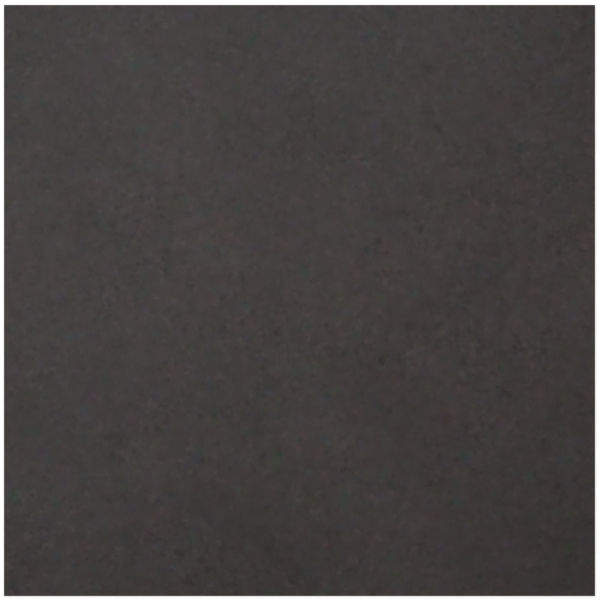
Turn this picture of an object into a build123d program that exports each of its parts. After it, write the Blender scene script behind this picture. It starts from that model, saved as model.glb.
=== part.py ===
from build123d import *

import os
from math import radians, tan

# A square floor tile: one slab of dust-pressed stoneware, fired and then ground square.
# The face is flat, with a narrow bevel, the arris, ground round its edge.
# The back is pressed with a waffle that the bedding mortar keys into. Broad main ribs part it into
# square panels, and lower key ribs part each panel into cells. All its walls slope, so that the pressed
# slab leaves its die. The tile rests on the main ribs and on the plain border round them.
# Millimetres. +Z is up, out of the face. The origin is the centre of the plane of the main ribs' tops.

# Slab
tile_length = 597.0  # along X
tile_width = 597.0  # along Y
tile_thickness = 9.5  # from the main ribs' tops to the face
arris = 0.6  # leg of the 45 degree bevel round the face

# Waffle on the back
cells_per_panel = 4  # along each side of a panel
cell_mouth = 21.5  # a cell's opening, between the tops of its key ribs
cell_depth = 0.5  # from the key ribs' tops to a cell's floor
key_rib_width = 2.0  # across a key rib's top
main_rib_width = 3.2  # across a main rib's top
main_rib_rise = 0.2  # from the key ribs' tops to the main ribs' tops
wall_slope = 40.0  # degrees that every wall of the waffle leans from upright
border_least = 6.0  # narrowest plain border round the waffle

cell_pitch = cell_mouth + key_rib_width
panel_floor = cells_per_panel * cell_pitch  # leaves half a key rib as a ledge along each panel's walls
panel_mouth = panel_floor + 2 * main_rib_rise * tan(radians(wall_slope))
panel_pitch = panel_mouth + main_rib_width


def slab():
    """The ground slab, standing on the plane of the main ribs' tops, with the arris round its face."""
    block = Box(tile_length, tile_width, tile_thickness, align=(Align.CENTER, Align.CENTER, Align.MIN))
    face = block.faces().sort_by(Axis.Z)[-1]
    return chamfer(face.edges(), length=arris)


def drafted_pit(mouth, depth):
    """The space of a square pit in the back, narrowing upwards from its mouth at Z = 0."""
    return extrude(Rectangle(mouth, mouth), amount=depth, taper=wall_slope)


def panel():
    """The space of one panel: the shallow pit between main ribs, with its cells sunk in the floor."""
    cell = Pos(0, 0, main_rib_rise) * drafted_pit(cell_mouth, cell_depth)
    cell_places = GridLocations(cell_pitch, cell_pitch, cells_per_panel, cells_per_panel)
    return drafted_pit(panel_mouth, main_rib_rise) + [place * cell for place in cell_places]


def panel_count(side):
    """Panels along a side of the tile: as many as its border leaves room for."""
    return int((side - 2 * border_least + main_rib_width) // panel_pitch)


def floor_tile():
    """The slab with the waffle pressed into its back."""
    one_panel = panel()
    panel_places = GridLocations(panel_pitch, panel_pitch, panel_count(tile_length), panel_count(tile_width))
    return slab() - [place * one_panel for place in panel_places]


os.makedirs("parts", exist_ok=True)
export_step(floor_tile(), "parts/floor_tile.step")
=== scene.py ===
"""The looks of the floor tile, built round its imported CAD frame.

The tile is one slab of dark stoneware. Its face is matt, with a faint mottle and a faint relief.
Its edges are ground square, with a narrow bevel, the arris, round the face. Its back is pressed
with a waffle: main ribs part it into panels, and key ribs part each panel into cells.
"""

import random
from math import copysign, cos, pi, radians, sin, tan

import bmesh
import bpy
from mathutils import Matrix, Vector, noise


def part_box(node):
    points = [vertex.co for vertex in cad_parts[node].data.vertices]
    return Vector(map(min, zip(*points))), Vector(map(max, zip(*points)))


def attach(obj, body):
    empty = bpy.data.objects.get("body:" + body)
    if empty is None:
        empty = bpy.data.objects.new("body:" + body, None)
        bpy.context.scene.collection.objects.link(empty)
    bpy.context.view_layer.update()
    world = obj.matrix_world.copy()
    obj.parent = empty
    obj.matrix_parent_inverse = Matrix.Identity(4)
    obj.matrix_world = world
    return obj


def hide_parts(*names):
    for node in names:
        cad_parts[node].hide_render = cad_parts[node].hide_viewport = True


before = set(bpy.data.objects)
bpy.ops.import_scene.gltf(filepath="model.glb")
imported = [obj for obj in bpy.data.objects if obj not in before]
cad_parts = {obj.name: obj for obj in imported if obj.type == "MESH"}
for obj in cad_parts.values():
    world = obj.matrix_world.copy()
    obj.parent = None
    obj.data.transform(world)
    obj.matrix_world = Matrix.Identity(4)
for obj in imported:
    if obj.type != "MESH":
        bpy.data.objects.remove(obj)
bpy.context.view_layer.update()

mm = 0.001

# Slab
tile_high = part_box("floor_tile")[1]
half_x = tile_high.x
half_y = tile_high.y
face_height = tile_high.z
arris = 0.6 * mm  # leg of the 45 degree bevel
crisp_angle = radians(30)  # an edge that turns by more stays crisp

# Face
face_steps = 148  # along each side
relief_size = 11 * mm  # across one swell of the face
relief_depth = 0.07 * mm  # from the highest swell to the lowest dip
waviness_size = 130 * mm
waviness_depth = 0.05 * mm

# Lower edge, which the grinding wheels leave slightly ragged
ragged_least = 0.05 * mm
ragged_most = 0.4 * mm
ragged_power = 3  # the higher, the rarer the deep chips
ragged_seed = 4

# Waffle on the back
panels_across = 6
cells_per_panel = 4
cell_mouth = 21.5 * mm
cell_depth = 0.5 * mm
key_rib_width = 2.0 * mm
main_rib_width = 3.2 * mm
main_rib_rise = 0.2 * mm
wall_slope = radians(40)  # that the walls lean from upright
cell_corner = 2.5 * mm  # radius of a cell's corners
corner_turns = 4  # flats round a corner
cell_pitch = cell_mouth + key_rib_width
panel_mouth = cells_per_panel * cell_pitch + 2 * main_rib_rise * tan(wall_slope)
panel_pitch = panel_mouth + main_rib_width

# How a pressed wall goes down: the share of its run and the share of its depth, at each ring
pressed_wall = ((0, 0), (0.25, 0.12), (0.75, 0.88), (1, 1))
run_for_depth = 1.7  # a wall's run for each unit of its depth

# The surface's map: the low corner and the size of the area that each part of the tile takes.
# The face has most of it. The four edges stand beside the back as narrow strips.
face_area = ((0.004, 0.004), (0.584, 0.992))
back_area = ((0.594, 0.004), (0.336, 0.992))
edge_area = ((0.938, 0.004), (0.011, 0.992))
edge_area_step = 0.0155  # from one strip to the next
edge_breadth = face_height + 2 * arris  # an edge's strip, the bevel and the lower edge laid flat

# The finishes, as places in the list of the tile's materials
FACE, GROUND, BACK = range(3)

# The stone's look: how far across its features are
cloud_size = 190 * mm
mottle_size = 13 * mm
mark_size = 6 * mm
calm_size = 60 * mm
fleck_size = 1.6 * mm
grain_size = 0.2 * mm
hue_size = 21 * mm
warmth_size = 420 * mm
dust_size = 22 * mm
wheel_mark_size = 0.7 * mm
noise_start = Vector((0.71, 0.53, 0.37))  # keeps the regular middle of the noise off the tile
# The clouds are placed paler to the upper left and darker to the lower right: the stone's own tone,
# and painted shade of the lamp's falloff.
# The warm and cool areas are placed cooler to the upper left and warmer to the lower right: the
# stone's own hue, and a painted cool tint of the lamp's light.
cloud_and_shade_start = (-0.55, -2.53, -0.37)  # sets which clouds the tile gets, and
warm_cool_and_tint_start = (7.25, -8.25, 0)  # where it is warm or cool

# How strongly each layer of the stone's tone shows on each finish
face_tones = {"Clouds": 0.72, "Mottle": 0.5, "Marks and relief shade": 0.125, "Flecks": 0.32, "Grain": 1.4}
edge_tones = {"Clouds": 0.4, "Mottle": 0.6, "Marks and relief shade": 0.05, "Flecks": 0.4, "Grain": 1.4}
back_tones = {"Clouds": 0.5, "Mottle": 0.8, "Marks and relief shade": 0.08, "Flecks": 0.4, "Grain": 1.2}
wheel_mark_tone = 0.5
wheel_mark_draw = (0.08, 0.08, 1.0)  # draws the wheels' marks out along the edges

# Colours, as red, green and blue
face_stone = (0.0504, 0.0407, 0.0391)
edge_stone = (0.058, 0.052, 0.050)
back_stone = (0.072, 0.064, 0.060)
grinding_dust = (0.16, 0.15, 0.14, 1)
kiln_wash = (0.42, 0.40, 0.37, 1)

# Hues that the stone's colour drifts to
hue_swing = (4, 4, 4)  # how far the small patches swing, and
hue_lean = (-2.3, -1.9, -1.8)  # what centres them, a little towards teal
warm_hue = (0.8, -0.2, -1.0)  # what a warm area gains
lightness_weights = (0.30, 0.59, 0.11)  # how much each colour counts in how light they look
face_drift = 0.16  # how strongly it all shows
back_drift = 0.05

# Dust on the edges and kiln wash on the back
edge_dust = 0.25  # the share of it where a patch is thick
back_wash = 0.6
wash_end = main_rib_rise + 0.2 * mm  # height over the bed at which the wash is thinnest, and
thinnest_wash = 0.12  # what is left of it there

# Gloss, the roughness of the bare stone, and what the fullest grain or dust adds to that
face_gloss = 0.28
edge_gloss = 0.3
back_gloss = 0.2
face_roughness = 0.58
edge_roughness = 0.55
back_roughness = 0.78
face_grain_adds = 0.16
edge_dust_adds = 0.3
back_wash_adds = 0.2

# The finest relief, which only the shading shows
face_bump_size = 1.3 * mm
back_bump_size = 1.6 * mm
face_bump_depth = 0.03 * mm
edge_bump_depth = 0.02 * mm
back_bump_depth = 0.08 * mm

# Studio
photo_pixels = 600
tile_pixels = 591.3  # the tile's side in the photograph
tile_shift = 0.5  # pixels that the tile lies left of the picture's middle, and below it
lens = 90.0
key_place = Vector((-0.28, 0.33, 1.55))
key_size = 0.45
key_power = 14.2
key_colour = (0.98, 0.995, 1.02)
sky_colour = (1.03, 0.995, 0.95, 1)
sky_level = 0.29
floor_half = 9.0
floor_grey = (0.8, 0.8, 0.8, 1)  # the floor as it lights the tile
floor_glow = 0.84  # what the floor gives off to the camera, and
floor_shade = 0.28  # how much of its light it adds, so that a shadow shows


def waves(place, size, octaves):
    """Soft waves about size across, -1 to 1. Each further octave is half as wide and half as high."""
    fall = 1.0
    narrowing = 2.0
    return noise.fractal(place / size, fall, narrowing, octaves)


def relief(x, y):
    """How far the face lies under its highest level at a place."""
    place = Vector((x, y, 0)) + noise_start
    swell = waves(place, relief_size, octaves=2)
    wave = waves(place, waviness_size, octaves=1)
    depth = relief_depth * (0.5 - 0.5 * swell) + waviness_depth * (0.5 - 0.5 * wave)
    return max(depth, 0)


def rim_walk(steps):
    """The grid places round a square's rim, anticlockwise from one corner."""
    first = [(i, 0) for i in range(steps)]
    second = [(steps, i) for i in range(steps)]
    third = [(steps - i, steps) for i in range(steps)]
    fourth = [(0, steps - i) for i in range(steps)]
    return first + second + third + fourth


def slab_point(place, inset, height):
    """A point of the slab at a grid place, on the rectangle that lies inset from its edges."""
    x = (2 * place[0] / face_steps - 1) * (half_x - inset)
    y = (2 * place[1] / face_steps - 1) * (half_y - inset)
    return Vector((x, y, height))


def face_point(place):
    """A point of the face. On the rim it lies where the bevel cuts the relief."""
    point = slab_point(place, arris, face_height)
    depth = relief(point.x, point.y)
    if place[0] in (0, face_steps):
        point.x += copysign(depth, point.x)
    if place[1] in (0, face_steps):
        point.y += copysign(depth, point.y)
    point.z -= depth
    return point


def add_ring(bm, points):
    return [bm.verts.new(point) for point in points]


def add_band(bm, one, other, finish):
    """The faces between two rings of as many points."""
    for i in range(len(one)):
        face = bm.faces.new((one[i - 1], one[i], other[i], other[i - 1]))
        face.material_index = finish


def add_plate(bm, outer, holes):
    """A flat part of the back, between its outer ring and the rings of its holes."""
    edges = []
    for ring in [outer] + holes:
        for i in range(len(ring)):
            joined = bm.edges.get((ring[i - 1], ring[i]))
            edges.append(joined or bm.edges.new((ring[i - 1], ring[i])))
    filled = bmesh.ops.triangle_fill(bm, edges=edges, use_beauty=True, normal=(0, 0, -1))
    for item in filled["geom"]:
        if isinstance(item, bmesh.types.BMFace):
            item.material_index = BACK


def add_face(bm):
    """The face with its relief. Returns the ring of its rim."""
    grid = {}
    for i in range(face_steps + 1):
        for j in range(face_steps + 1):
            grid[i, j] = bm.verts.new(face_point((i, j)))
    for i in range(face_steps):
        for j in range(face_steps):
            corners = (grid[i, j], grid[i + 1, j], grid[i + 1, j + 1], grid[i, j + 1])
            face = bm.faces.new(corners)
            face.material_index = FACE
    return [grid[place] for place in rim_walk(face_steps)]


def add_edges(bm, face_rim):
    """The bevel and the ground edges, down to the ragged lower edge. Returns the back's rim."""
    chance = random.Random(ragged_seed)
    places = rim_walk(face_steps)
    spread = ragged_most - ragged_least
    ragged = [ragged_least + spread * chance.random() ** ragged_power for place in places]
    shoulder = add_ring(bm, [slab_point(place, 0, face_height - arris) for place in places])
    foot = add_ring(bm, [slab_point(place, 0, chip) for place, chip in zip(places, ragged)])
    back_rim = add_ring(bm, [slab_point(place, chip, 0) for place, chip in zip(places, ragged)])
    add_band(bm, face_rim, shoulder, GROUND)
    add_band(bm, shoulder, foot, GROUND)
    add_band(bm, foot, back_rim, GROUND)
    return back_rim


def rounded_square(centre, half, corner, height):
    """The points of a square with round corners, anticlockwise."""
    points = []
    for quarter, (out_x, out_y) in enumerate(((1, 1), (-1, 1), (-1, -1), (1, -1))):
        for turn in range(corner_turns + 1):
            angle = (quarter + turn / corner_turns) * pi / 2
            x = centre[0] + out_x * (half - corner) + corner * cos(angle)
            y = centre[1] + out_y * (half - corner) + corner * sin(angle)
            points.append(Vector((x, y, height)))
    return points


def add_pressed_wall(bm, centre, half, corner, top, depth):
    """A square pit's soft wall, down from its mouth at the height top. Returns its end rings."""
    run = run_for_depth * depth
    rings = []
    for along, down in pressed_wall:
        inset = along * run
        points = rounded_square(centre, half - inset, corner - inset, top + down * depth)
        rings.append(add_ring(bm, points))
    for one, other in zip(rings, rings[1:]):
        add_band(bm, one, other, BACK)
    return rings[0], rings[-1]


def places_along(count, pitch):
    """Places a pitch apart, about the middle."""
    return [(i - (count - 1) / 2) * pitch for i in range(count)]


def add_cell(bm, centre):
    """One cell, sunk from the tops of the key ribs. Returns the ring of its mouth."""
    half = cell_mouth / 2
    mouth, floor_ring = add_pressed_wall(bm, centre, half, cell_corner, main_rib_rise, cell_depth)
    bm.faces.new(floor_ring).material_index = BACK
    return mouth


def add_panel(bm, centre):
    """One panel between main ribs, with its cells. Returns the ring of its mouth."""
    half = panel_mouth / 2
    outermost_cell = (cells_per_panel - 1) / 2 * cell_pitch + cell_mouth / 2
    corner = half - outermost_cell + cell_corner
    mouth, ledge = add_pressed_wall(bm, centre, half, corner, 0, main_rib_rise)
    offsets = places_along(cells_per_panel, cell_pitch)
    cells = [add_cell(bm, (centre[0] + x, centre[1] + y)) for x in offsets for y in offsets]
    add_plate(bm, ledge, cells)
    return mouth


def add_back(bm, back_rim):
    """The waffled back within its rim."""
    offsets = places_along(panels_across, panel_pitch)
    panels = [add_panel(bm, (x, y)) for x in offsets for y in offsets]
    add_plate(bm, back_rim, panels)


def map_place(area, across, along):
    """The place in an area of the map at a share of its width and a share of its height."""
    (low_u, low_v), (size_u, size_v) = area
    return low_u + size_u * across, low_v + size_v * along


def edge_place(centre, point):
    """A place on the map for a point of an edge, in the strip of the edge that centre lies on."""
    if half_x - abs(centre.x) < half_y - abs(centre.y):
        strip = 3 if centre.x > 0 else 2
        inset = half_x - abs(point.x)
        along = point.y / half_y
    else:
        strip = 1 if centre.y > 0 else 0
        inset = half_y - abs(point.y)
        along = point.x / half_x
    level = point.z + copysign(inset, point.z - face_height / 2)
    u, v = map_place(edge_area, (level + arris) / edge_breadth, (along + 1) / 2)
    return u + strip * edge_area_step, v


def lay_out_map(bm):
    """Gives each corner of each face its place on the map."""
    layer = bm.loops.layers.uv.new("OFBake")
    for face in bm.faces:
        centre = face.calc_center_median()
        for loop in face.loops:
            point = loop.vert.co
            across = (point.x / half_x + 1) / 2
            along = (point.y / half_y + 1) / 2
            if face.material_index == FACE:
                loop[layer].uv = map_place(face_area, across, along)
            elif face.material_index == BACK:
                loop[layer].uv = map_place(back_area, 1 - across, along)
            else:
                loop[layer].uv = edge_place(centre, point)


def shade_softly(bm):
    """Smooth shading, with the ground edges left crisp."""
    for face in bm.faces:
        face.smooth = True
    for edge in bm.edges:
        edge.smooth = edge.calc_face_angle(0) < crisp_angle


def add_object(name, bm, materials):
    """Puts a finished mesh in the scene, as an object with these materials."""
    mesh = bpy.data.meshes.new(name)
    bm.to_mesh(mesh)
    bm.free()
    for material in materials:
        mesh.materials.append(material)
    added = bpy.data.objects.new(name, mesh)
    bpy.context.scene.collection.objects.link(added)
    return added


def build_tile(materials):
    bm = bmesh.new()
    face_rim = add_face(bm)
    back_rim = add_edges(bm, face_rim)
    add_back(bm, back_rim)
    bmesh.ops.recalc_face_normals(bm, faces=bm.faces)
    lay_out_map(bm)
    shade_softly(bm)
    tile = add_object("tile_slab", bm, materials)
    soft = tile.modifiers.new("even_shading", "WEIGHTED_NORMAL")
    soft.weight = 100  # the larger faces win
    soft.keep_sharp = True
    return tile


def wire(tree, node, inputs):
    """Sets a node's inputs. Each is given as a value, or as the socket that it comes from."""
    for name, value in inputs.items():
        if isinstance(value, bpy.types.NodeSocket):
            tree.links.new(value, node.inputs[name])
        else:
            node.inputs[name].default_value = value


def add_node(tree, kind, inputs, **settings):
    node = tree.nodes.new("ShaderNode" + kind)
    for name, value in settings.items():
        setattr(node, name, value)
    wire(tree, node, inputs)
    return node


def use_group(tree, group, inputs):
    return add_node(tree, "Group", inputs, node_tree=group).outputs


def reckon(tree, operation, *terms):
    return add_node(tree, "Math", dict(enumerate(terms)), operation=operation).outputs[0]


def reckon_vector(tree, operation, inputs, output="Vector"):
    return add_node(tree, "VectorMath", inputs, operation=operation).outputs[output]


def about_zero(tree, value):
    """Carries a value about a half to one about zero."""
    return reckon(tree, "SUBTRACT", value, 0.5)


def add_noise(tree, vector, size, detail=0.0, roughness=0.5, output="Fac", start=(0, 0, 0)):
    """Soft random noise about size across, in metres, with detail octaves of finer noise in it.
    Noises of one size need a start of their own to differ."""
    place = reckon_vector(tree, "ADD", {0: vector, 1: noise_start + Vector(start)})
    scale = reckon(tree, "DIVIDE", 1.0, size)
    inputs = {"Vector": place, "Scale": scale, "Detail": detail, "Roughness": roughness}
    return add_node(tree, "TexNoise", inputs).outputs[output]


def stretch(tree, value, old, new, way="LINEAR"):
    """Carries a value from the old range to the new one, and holds it there."""
    ends = {"From Min": old[0], "From Max": old[1], "To Min": new[0], "To Max": new[1]}
    return add_node(tree, "MapRange", {"Value": value} | ends, interpolation_type=way).outputs[0]


def start_group(name, inputs, outputs):
    """A shader node group with named sockets. Returns it, its input sockets and its output node."""
    group = bpy.data.node_groups.new(name, "ShaderNodeTree")
    for socket, kind in inputs.items():
        group.interface.new_socket(name=socket, in_out="INPUT", socket_type="NodeSocket" + kind)
    for socket, kind in outputs.items():
        group.interface.new_socket(name=socket, in_out="OUTPUT", socket_type="NodeSocket" + kind)
    given = group.nodes.new("NodeGroupInput").outputs
    return group, given, group.nodes.new("NodeGroupOutput")


def relief_marks_and_shade_group():
    """Soft marks of the pressed relief, with calmer stone between their clusters: pale and dark
    spots, bent out of round, from -2 to 2. The spots are painted light and shade of the face's fine
    dents."""
    group, given, result = start_group(
        "relief_marks_and_shade", {"Vector": "Vector", "Size": "Float"}, {"Mark": "Float"}
    )
    place = given["Vector"]
    size = given["Size"]
    bend_size = reckon(group, "MULTIPLY", size, 0.7)
    bend_reach = reckon(group, "MULTIPLY", size, 0.67)
    cluster_size = reckon(group, "MULTIPLY", size, 1.5)
    bend = add_noise(group, place, bend_size, output="Color", start=(0.2, 0.5, 0.1))
    bent = reckon_vector(group, "SCALE", {0: bend, "Scale": bend_reach})
    bent = reckon_vector(group, "ADD", {0: bent, 1: place})
    spots = stretch(group, add_noise(group, bent, size), (0.2, 0.8), (-2, 2))
    clusters = add_noise(
        group, place, cluster_size, detail=1.0, roughness=0.6, start=(0.7, 0.4, 0.2)
    )
    where = stretch(group, clusters, (0.45, 0.65), (0.15, 1), "SMOOTHSTEP")
    wire(group, result, {"Mark": reckon(group, "MULTIPLY", spots, where)})
    return group


def flecks_group():
    """Sparse crisp specks of uneven shape: pale ones at 1, dark ones at -1, and 0 between them."""
    group, given, result = start_group(
        "flecks", {"Vector": "Vector", "Size": "Float"}, {"Fleck": "Float"}
    )
    grains = add_noise(group, given["Vector"], given["Size"], detail=1.0)
    pale = stretch(group, grains, (0.7, 0.75), (0, 1), "SMOOTHSTEP")
    dark = stretch(group, grains, (0.3, 0.25), (0, 1), "SMOOTHSTEP")
    wire(group, result, {"Fleck": reckon(group, "SUBTRACT", pale, dark)})
    return group


def stone_tone_group():
    """How light the fired stone is at a place, about 1: broad clouds from the kiln, which also paint
    shade, paler to the upper left and darker to the lower right as the lamp's light falls off, a soft
    mottle, the press's marks, which are also painted light and shade of the face's fine dents,
    stronger in some areas than in others, flecks, and the powder's own grain.
    Each layer has its strength."""
    strengths = {layer: "Float" for layer in face_tones}
    group, given, result = start_group(
        "stone_tone", {"Vector": "Vector"} | strengths, {"Tone": "Float"}
    )
    place = given["Vector"]
    # Clouds: the kiln's tone, and painted shade, paler to the upper left and darker to the lower
    # right.
    clouds = add_noise(group, place, cloud_size, detail=2.0, roughness=0.8, start=cloud_and_shade_start)
    mottle = add_noise(group, place, mottle_size, detail=0.8, roughness=0.8)
    grain = add_noise(group, place, grain_size, detail=1.0, roughness=0.8)
    areas = add_noise(group, place, calm_size, detail=1.0, start=(0.5, 0.1, 0.3))
    busy = stretch(group, areas, (0.3, 0.7), (0.6, 1.4))
    # The marks are painted light and shade of the face's fine dents, as well as tone.
    marks = use_group(group, relief_marks_and_shade_group(), {"Vector": place, "Size": mark_size})["Mark"]
    layers = {
        "Clouds": about_zero(group, clouds),
        "Mottle": about_zero(group, mottle),
        "Marks and relief shade": reckon(group, "MULTIPLY", marks, busy),
        "Flecks": use_group(group, flecks_group(), {"Vector": place, "Size": fleck_size})["Fleck"],
        "Grain": about_zero(group, grain),
    }
    tone = 1.0
    for name, layer in layers.items():
        tone = reckon(group, "MULTIPLY_ADD", layer, given[name], tone)
    wire(group, result, {"Tone": tone})
    return group


def hue_drift_group():
    """A colour with small patches that lean to other hues, and with broad warm and cool areas, which
    are partly the stone's own and partly a painted tint of the lamp's light, cooler to the upper
    left. It keeps its lightness. Drift is how strongly the hues show."""
    group, given, result = start_group(
        "hue_drift", {"Color": "Color", "Vector": "Vector", "Drift": "Float"}, {"Color": "Color"}
    )
    place = given["Vector"]
    hues = add_noise(
        group, place, hue_size, detail=1.0, roughness=0.9, output="Color", start=(0.3, 0.1, 0.5)
    )
    swing = reckon_vector(group, "MULTIPLY_ADD", {0: hues, 1: hue_swing, 2: hue_lean})
    strength = reckon_vector(group, "ABSOLUTE", {0: swing})
    patches = reckon_vector(group, "MULTIPLY", {0: swing, 1: strength})
    # Warm and cool areas: the stone's own, and a painted tint of the lamp's light, cooler to the
    # upper left.
    warm_cool_and_tint = add_noise(group, place, warmth_size, detail=1.0, start=warm_cool_and_tint_start)
    areas = reckon_vector(group, "SCALE", {0: warm_hue, "Scale": about_zero(group, warm_cool_and_tint)})
    drift = reckon_vector(group, "ADD", {0: patches, 1: areas})
    lightness = reckon_vector(group, "DOT_PRODUCT", {0: drift, 1: lightness_weights}, "Value")
    drift = reckon_vector(group, "SUBTRACT", {0: drift, 1: lightness})
    drift = reckon_vector(group, "SCALE", {0: drift, "Scale": given["Drift"]})
    drift = reckon_vector(group, "ADD", {0: drift, 1: (1.0, 1.0, 1.0)})
    drifted = reckon_vector(group, "MULTIPLY", {0: given["Color"], 1: drift})
    wire(group, result, {"Color": drifted})
    return group


def pressed_grain_group():
    """The height of the pressed powder's grain, about 0 to 1."""
    group, given, result = start_group(
        "pressed_grain", {"Vector": "Vector", "Size": "Float"}, {"Height": "Float"}
    )
    grain = add_noise(group, given["Vector"], given["Size"], detail=3.0, roughness=0.6)
    wire(group, result, {"Height": grain})
    return group


def dust_group():
    """A pale dust that lies in patches where a mask lets it. Cover is how much of it there is."""
    colours = {"Color": "Color", "Dust Color": "Color"}
    group, given, result = start_group(
        "pale_dust",
        colours | {"Vector": "Vector", "Where": "Float", "Cover": "Float"},
        {"Color": "Color", "Dust": "Float"},
    )
    patches = add_noise(group, given["Vector"], dust_size, detail=6.0, roughness=0.65)
    patches = stretch(group, patches, (0.36, 0.62), (0, 1))
    dust = reckon(group, "MULTIPLY", patches, given["Where"])
    dust = reckon(group, "MULTIPLY", dust, given["Cover"])
    ends = {"A": given["Color"], "B": given["Dust Color"]}
    mixed = add_node(group, "Mix", {"Factor": dust} | ends, data_type="RGBA")
    wire(group, result, {"Color": mixed.outputs["Result"], "Dust": dust})
    return group


stone_tone = stone_tone_group()
hue_drift = hue_drift_group()
pressed_grain = pressed_grain_group()
pale_dust = dust_group()


def start_material(name):
    """A node material. Returns it, its tree, its Principled shader and its place socket."""
    material = bpy.data.materials.new(name)
    material.use_nodes = True
    tree = material.node_tree
    shader = tree.nodes["Principled BSDF"]
    place = add_node(tree, "TexCoord", {}).outputs["Object"]
    return material, tree, shader, place


def tinted(tree, colour, tone):
    return reckon_vector(tree, "SCALE", {0: colour, "Scale": tone})


def drifted(tree, place, colour, drift):
    inputs = {"Color": colour, "Vector": place, "Drift": drift}
    return use_group(tree, hue_drift, inputs)["Color"]


def bump(tree, height, depth):
    """The normals of a fine relief, from a height of 0 to 1 that stands for its depth."""
    inputs = {"Height": height, "Strength": 1.0, "Distance": depth}
    return add_node(tree, "Bump", inputs).outputs["Normal"]


def matt_face():
    """The face: dark matt stoneware with clouds, a fine mottle, faint hues and a fine grain. The
    clouds, the marks and the broad hues are partly painted light and shade.
    """
    material, tree, shader, place = start_material("matt_face")
    tone = use_group(tree, stone_tone, {"Vector": place} | face_tones)["Tone"]
    stone = tinted(tree, face_stone, tone)
    grain = use_group(tree, pressed_grain, {"Vector": place, "Size": face_bump_size})["Height"]
    wire(tree, shader, {
        "Base Color": drifted(tree, place, stone, face_drift),
        "Roughness": reckon(tree, "MULTIPLY_ADD", grain, face_grain_adds, face_roughness),
        "Specular IOR Level": face_gloss,
        "Normal": bump(tree, grain, face_bump_depth),
    })
    return material


def ground_edge():
    """The ground edges and bevel: the stone a little paler, with fine marks as the wheels ran."""
    material, tree, shader, place = start_material("ground_edge")
    tone = use_group(tree, stone_tone, {"Vector": place} | edge_tones)["Tone"]
    along_wheels = reckon_vector(tree, "MULTIPLY", {0: place, 1: wheel_mark_draw})
    marks = add_noise(tree, along_wheels, wheel_mark_size, detail=2.0, roughness=0.7)
    streaks = reckon(tree, "MULTIPLY_ADD", about_zero(tree, marks), wheel_mark_tone, 1.0)
    tone = reckon(tree, "MULTIPLY", tone, streaks)
    dusty = use_group(tree, pale_dust, {
        "Color": tinted(tree, edge_stone, tone),
        "Dust Color": grinding_dust,
        "Vector": place,
        "Where": 1.0,
        "Cover": edge_dust,
    })
    wire(tree, shader, {
        "Base Color": dusty["Color"],
        "Roughness": reckon(tree, "MULTIPLY_ADD", dusty["Dust"], edge_dust_adds, edge_roughness),
        "Specular IOR Level": edge_gloss,
        "Normal": bump(tree, marks, edge_bump_depth),
    })
    return material


def pressed_back():
    """The back as it leaves the kiln: the rougher stone, with kiln wash on the ribs that met the
    rollers."""
    material, tree, shader, place = start_material("pressed_back")
    tone = use_group(tree, stone_tone, {"Vector": place} | back_tones)["Tone"]
    stone = tinted(tree, back_stone, tone)
    height = add_node(tree, "SeparateXYZ", {"Vector": place}).outputs["Z"]
    dusty = use_group(tree, pale_dust, {
        "Color": drifted(tree, place, stone, back_drift),
        "Dust Color": kiln_wash,
        "Vector": place,
        "Where": stretch(tree, height, (0, wash_end), (1, thinnest_wash)),
        "Cover": back_wash,
    })
    grain = use_group(tree, pressed_grain, {"Vector": place, "Size": back_bump_size})["Height"]
    wire(tree, shader, {
        "Base Color": dusty["Color"],
        "Roughness": reckon(tree, "MULTIPLY_ADD", dusty["Dust"], back_wash_adds, back_roughness),
        "Specular IOR Level": back_gloss,
        "Normal": bump(tree, grain, back_bump_depth),
    })
    return material


def pale_floor():
    """To the camera and in reflections the floor is white, and it keeps the tile's shadow. To the
    light that falls on the tile it is a plain pale grey."""
    material = bpy.data.materials.new("pale_floor")
    material.use_nodes = True
    tree = material.node_tree
    tree.nodes.clear()
    rays = add_node(tree, "LightPath", {}).outputs
    seen = reckon(tree, "MAXIMUM", rays["Is Camera Ray"], rays["Is Glossy Ray"])
    seen = reckon(tree, "MAXIMUM", seen, rays["Is Transmission Ray"])
    plain = add_node(tree, "BsdfDiffuse", {"Color": floor_grey})
    shaded = add_node(tree, "BsdfDiffuse", {"Color": (floor_shade, floor_shade, floor_shade, 1)})
    white = add_node(tree, "Emission", {"Color": (1, 1, 1, 1), "Strength": floor_glow})
    shown = add_node(tree, "AddShader", {0: shaded.outputs[0], 1: white.outputs[0]})
    mixed = add_node(tree, "MixShader", {0: seen, 1: plain.outputs[0], 2: shown.outputs[0]})
    add_node(tree, "OutputMaterial", {"Surface": mixed.outputs[0]})
    return material


def build_floor():
    bm = bmesh.new()
    bmesh.ops.create_grid(bm, x_segments=1, y_segments=1, size=floor_half)
    floor = add_object("floor", bm, [pale_floor()])


def build_sky():
    world = bpy.data.worlds.new("studio")
    world.use_nodes = True
    background = world.node_tree.nodes["Background"]
    wire(world.node_tree, background, {"Color": sky_colour, "Strength": sky_level})
    bpy.context.scene.world = world


def build_key_lamp():
    lamp = bpy.data.lights.new("key", "AREA")
    lamp.shape = "SQUARE"
    lamp.size = key_size
    lamp.energy = key_power
    lamp.color = key_colour
    key = bpy.data.objects.new("key", lamp)
    key.location = key_place
    key.visible_camera = False
    bpy.context.scene.collection.objects.link(key)


def build_camera():
    """The photograph's view, straight down on the face."""
    sight = bpy.data.cameras.new("camera")
    sight.lens = lens
    pixel = 2 * half_x / tile_pixels
    distance = photo_pixels * pixel * lens / sight.sensor_width
    camera = bpy.data.objects.new("camera", sight)
    camera.location = (tile_shift * pixel, tile_shift * pixel, face_height - arris + distance)
    bpy.context.scene.collection.objects.link(camera)
    bpy.context.scene.camera = camera


tile = build_tile([matt_face(), ground_edge(), pressed_back()])
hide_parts("floor_tile")
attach(tile, "root")

build_floor()
build_sky()
build_key_lamp()
build_camera()
bpy.context.scene.view_settings.view_transform = "Standard"
